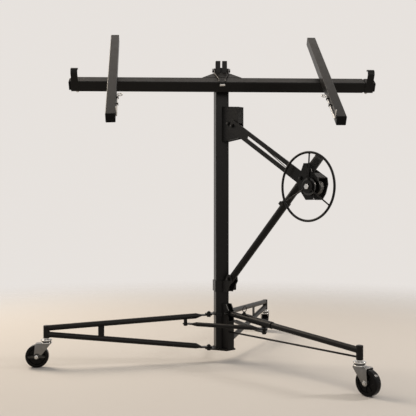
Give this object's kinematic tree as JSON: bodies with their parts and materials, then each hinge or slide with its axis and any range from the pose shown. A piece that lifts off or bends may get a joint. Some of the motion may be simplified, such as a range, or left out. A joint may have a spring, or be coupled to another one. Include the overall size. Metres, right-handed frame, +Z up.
{
  "type": "drywall panel hoist",
  "caption": "Rolling tripod hoist with a telescoping mast, hand winch and tilting cradle that raises board panels to a ceiling.",
  "frame": {"origin": "on the floor under the mast axis, where the tripod stands", "axes": "+Z up along the mast, -X along the left folding leg, -Y towards the side that the panel is loaded from"},
  "size_m": [1.5534, 1.5428, 1.5603],
  "materials": {
    "black_steel": "satin black powder coat",
    "zinc_steel": "bright zinc plate",
    "black_plastic": "moulded plastic",
    "black_rubber": "matt rubber",
    "wheel_tread": "hard rubber, scuffed tread",
    "wire_cable": "galvanised wire rope"
  },
  "bodies": {
    "base": {"mast_tube": "black_steel", "mast_glide": "black_plastic", "base_plate": "black_steel", "leg_lugs": "black_steel", "leg_bracket": "black_steel", "fixed_leg_tube": "black_steel", "tie_rod": "black_steel", "right_socket": "black_steel", "frame_bolts": "black_steel", "post_tube": "black_steel", "post_grip": "black_rubber", "foot_strap": "black_steel", "slotted_arm": "black_steel", "sheave_bracket": "black_steel", "winch_frame": "black_steel", "lift_cable": "wire_cable"},
    "inner_stage": {"inner_mast": "black_steel", "inner_glide": "black_plastic"},
    "top_stage": {"top_mast": "black_steel", "mast_head": "black_steel", "tilt_pin": "zinc_steel"},
    "cradle": {"cradle_beam": "black_steel", "gusset": "black_steel"},
    "bail": {"bail": "zinc_steel"},
    "left_arm": {"left_arm_tube": "black_steel", "left_arm_caps": "black_plastic"},
    "right_arm": {"right_arm_tube": "black_steel", "right_arm_caps": "black_plastic"},
    "left_hook": {"left_hook": "black_steel"},
    "right_hook": {"right_hook": "black_steel"},
    "left_outrigger": {"left_outrigger": "black_steel"},
    "right_outrigger": {"right_outrigger": "black_steel"},
    "drum": {"cable_drum": "black_steel", "drum_shaft": "zinc_steel", "ratchet_wheel": "zinc_steel", "brake_disc": "zinc_steel", "cable_winding": "wire_cable", "handwheel_rim": "black_steel", "handwheel_hub": "black_steel"},
    "pawl": {"pawl_lever": "black_steel"},
    "sheave": {"sheave": "zinc_steel"},
    "left_leg": {"left_leg_upper_tube": "black_steel", "left_leg_lower_tube": "black_steel", "left_leg_strut": "black_steel", "left_socket": "black_steel"},
    "back_leg": {"back_leg_upper_tube": "black_steel", "back_leg_lower_tube": "black_steel", "back_leg_strut": "black_steel", "back_socket": "black_steel"},
    "collar": {"fold_collar": "black_steel"},
    "lock_pin": {"lock_pin": "black_steel"},
    "left_brace": {"left_brace": "black_steel"},
    "back_brace": {"back_brace": "black_steel"},
    "left_caster": {"left_yoke": "zinc_steel"},
    "right_caster": {"right_yoke": "zinc_steel"},
    "back_caster": {"back_yoke": "zinc_steel"},
    "left_wheel": {"left_wheel": "wheel_tread"},
    "right_wheel": {"right_wheel": "wheel_tread"},
    "back_wheel": {"back_wheel": "wheel_tread"},
    "brake_pedal": {"brake_pedal": "zinc_steel"}
  },
  "joints": [
    {"name": "lift", "type": "slide", "parent": "base", "child": "inner_stage", "axis": [0, 0, 1], "range_m": [0, 1]},
    {"name": "top_lift", "type": "slide", "parent": "inner_stage", "child": "top_stage", "axis": [0, 0, 1], "range_m": [0, 1]},
    {"name": "drum_turn", "type": "hinge", "parent": "base", "child": "drum", "pos_m": [0.283, -0.49017, 0.79], "axis": [-0.866, -0.5, 0], "range_deg": [0, 1891]},
    {"name": "sheave_turn", "type": "hinge", "parent": "base", "child": "sheave", "pos_m": [0.033, -0.05716, 1.088], "axis": [0.866, 0.5, 0], "range_deg": [0, 2605]},
    {"name": "pawl_lift", "type": "hinge", "parent": "base", "child": "pawl", "pos_m": [0.24923, -0.49368, 0.8381], "axis": [0.866, 0.5, 0], "range_deg": [0, 25], "stiffness_Nm_per_rad": 0.4, "springref_deg": -11.46},
    {"name": "tilt", "type": "hinge", "parent": "top_stage", "child": "cradle", "pos_m": [0, 0, 1.34], "axis": [-0.989, 0.1478, 0], "range_deg": [0, 45]},
    {"name": "bail_lift", "type": "hinge", "parent": "cradle", "child": "bail", "pos_m": [0, 0, 1.34], "axis": [-0.989, 0.1478, 0], "range_deg": [0, 100]},
    {"name": "left_arm_swing", "type": "hinge", "parent": "cradle", "child": "left_arm", "pos_m": [-0.49709, -0.01442, 1.28223], "axis": [-0.0848, -0.5673, 0.8192], "range_deg": [-10, 70]},
    {"name": "right_arm_swing", "type": "hinge", "parent": "cradle", "child": "right_arm", "pos_m": [0.44297, -0.15491, 1.28223], "axis": [-0.0848, -0.5673, 0.8192], "range_deg": [-70, 10]},
    {"name": "left_hook_slide", "type": "slide", "parent": "left_arm", "child": "left_hook", "axis": [0.0683, 0.8169, 0.5728], "range_m": [0, 0.085]},
    {"name": "right_hook_slide", "type": "slide", "parent": "right_arm", "child": "right_hook", "axis": [0.1211, 0.8102, 0.5736], "range_m": [0, 0.085]},
    {"name": "left_outrigger_slide", "type": "slide", "parent": "cradle", "child": "left_outrigger", "axis": [-0.989, 0.1478, 0], "range_m": [0, 0.34]},
    {"name": "right_outrigger_slide", "type": "slide", "parent": "cradle", "child": "right_outrigger", "axis": [0.989, -0.1478, 0], "range_m": [-0.008, 0.332]},
    {"name": "left_leg_fold", "type": "hinge", "parent": "base", "child": "left_leg", "pos_m": [-0.058, 0, 0.1], "axis": [0, 0, 1], "range_deg": [0, 100]},
    {"name": "back_leg_fold", "type": "hinge", "parent": "base", "child": "back_leg", "pos_m": [0.029, 0.05023, 0.1], "axis": [0, 0, 1], "range_deg": [-100, 0]},
    {"name": "collar_slide", "type": "slide", "parent": "base", "child": "collar", "axis": [0.4984, -0.8633, -0.0793], "range_m": [0, 0.1758]},
    {"name": "left_brace_turn", "type": "hinge", "parent": "left_leg", "child": "left_brace", "pos_m": [-0.167, 0, 0.1745], "axis": [-0.0223, 0, 0.9998], "range_deg": [-109, 0]},
    {"name": "back_brace_turn", "type": "hinge", "parent": "back_leg", "child": "back_brace", "pos_m": [0.0835, 0.14463, 0.1605], "axis": [0.0112, 0.0193, 0.9998], "range_deg": [0, 109]},
    {"name": "lock_pin_pull", "type": "slide", "parent": "collar", "child": "lock_pin", "axis": [0.0397, -0.0687, 0.9968], "range_m": [0, 0.012]},
    {"name": "left_swivel", "type": "hinge", "parent": "left_leg", "child": "left_caster", "pos_m": [-0.79, 0, 0.13], "axis": [0, 0, 1], "continuous": true},
    {"name": "left_roll", "type": "hinge", "parent": "left_caster", "child": "left_wheel", "pos_m": [-0.82982, 0.00383, 0.0508], "axis": [0.0958, 0.9954, 0], "continuous": true},
    {"name": "right_swivel", "type": "hinge", "parent": "base", "child": "right_caster", "pos_m": [0.395, -0.68416, 0.13], "axis": [0, 0, 1], "continuous": true},
    {"name": "right_roll", "type": "hinge", "parent": "right_caster", "child": "right_wheel", "pos_m": [0.41378, -0.71948, 0.0508], "axis": [-0.8829, -0.4695, 0], "continuous": true},
    {"name": "back_swivel", "type": "hinge", "parent": "back_leg", "child": "back_caster", "pos_m": [0.395, 0.68416, 0.13], "axis": [0, 0, 1], "continuous": true},
    {"name": "back_roll", "type": "hinge", "parent": "back_caster", "child": "back_wheel", "pos_m": [0.40195, 0.72355, 0.0508], "axis": [0.9848, -0.1736, 0], "continuous": true},
    {"name": "brake_press", "type": "hinge", "parent": "left_caster", "child": "brake_pedal", "pos_m": [-0.82982, 0.00383, 0.0508], "axis": [-0.0958, -0.9954, 0], "range_deg": [0, 25]}
  ],
  "couplings": [
    {"joint": "top_lift", "follows": "lift", "ratio": 1},
    {"joint": "drum_turn", "follows": "lift", "rad_per_m": 33.003},
    {"joint": "sheave_turn", "follows": "lift", "rad_per_m": 45.455},
    {"joint": "back_leg_fold", "follows": "left_leg_fold", "ratio": -1},
    {"joint": "collar_slide", "follows": "left_leg_fold", "m_per_rad": 0.10043},
    {"joint": "left_brace_turn", "follows": "left_leg_fold", "ratio": -1.0877},
    {"joint": "back_brace_turn", "follows": "left_leg_fold", "ratio": 1.0877}
  ]
}
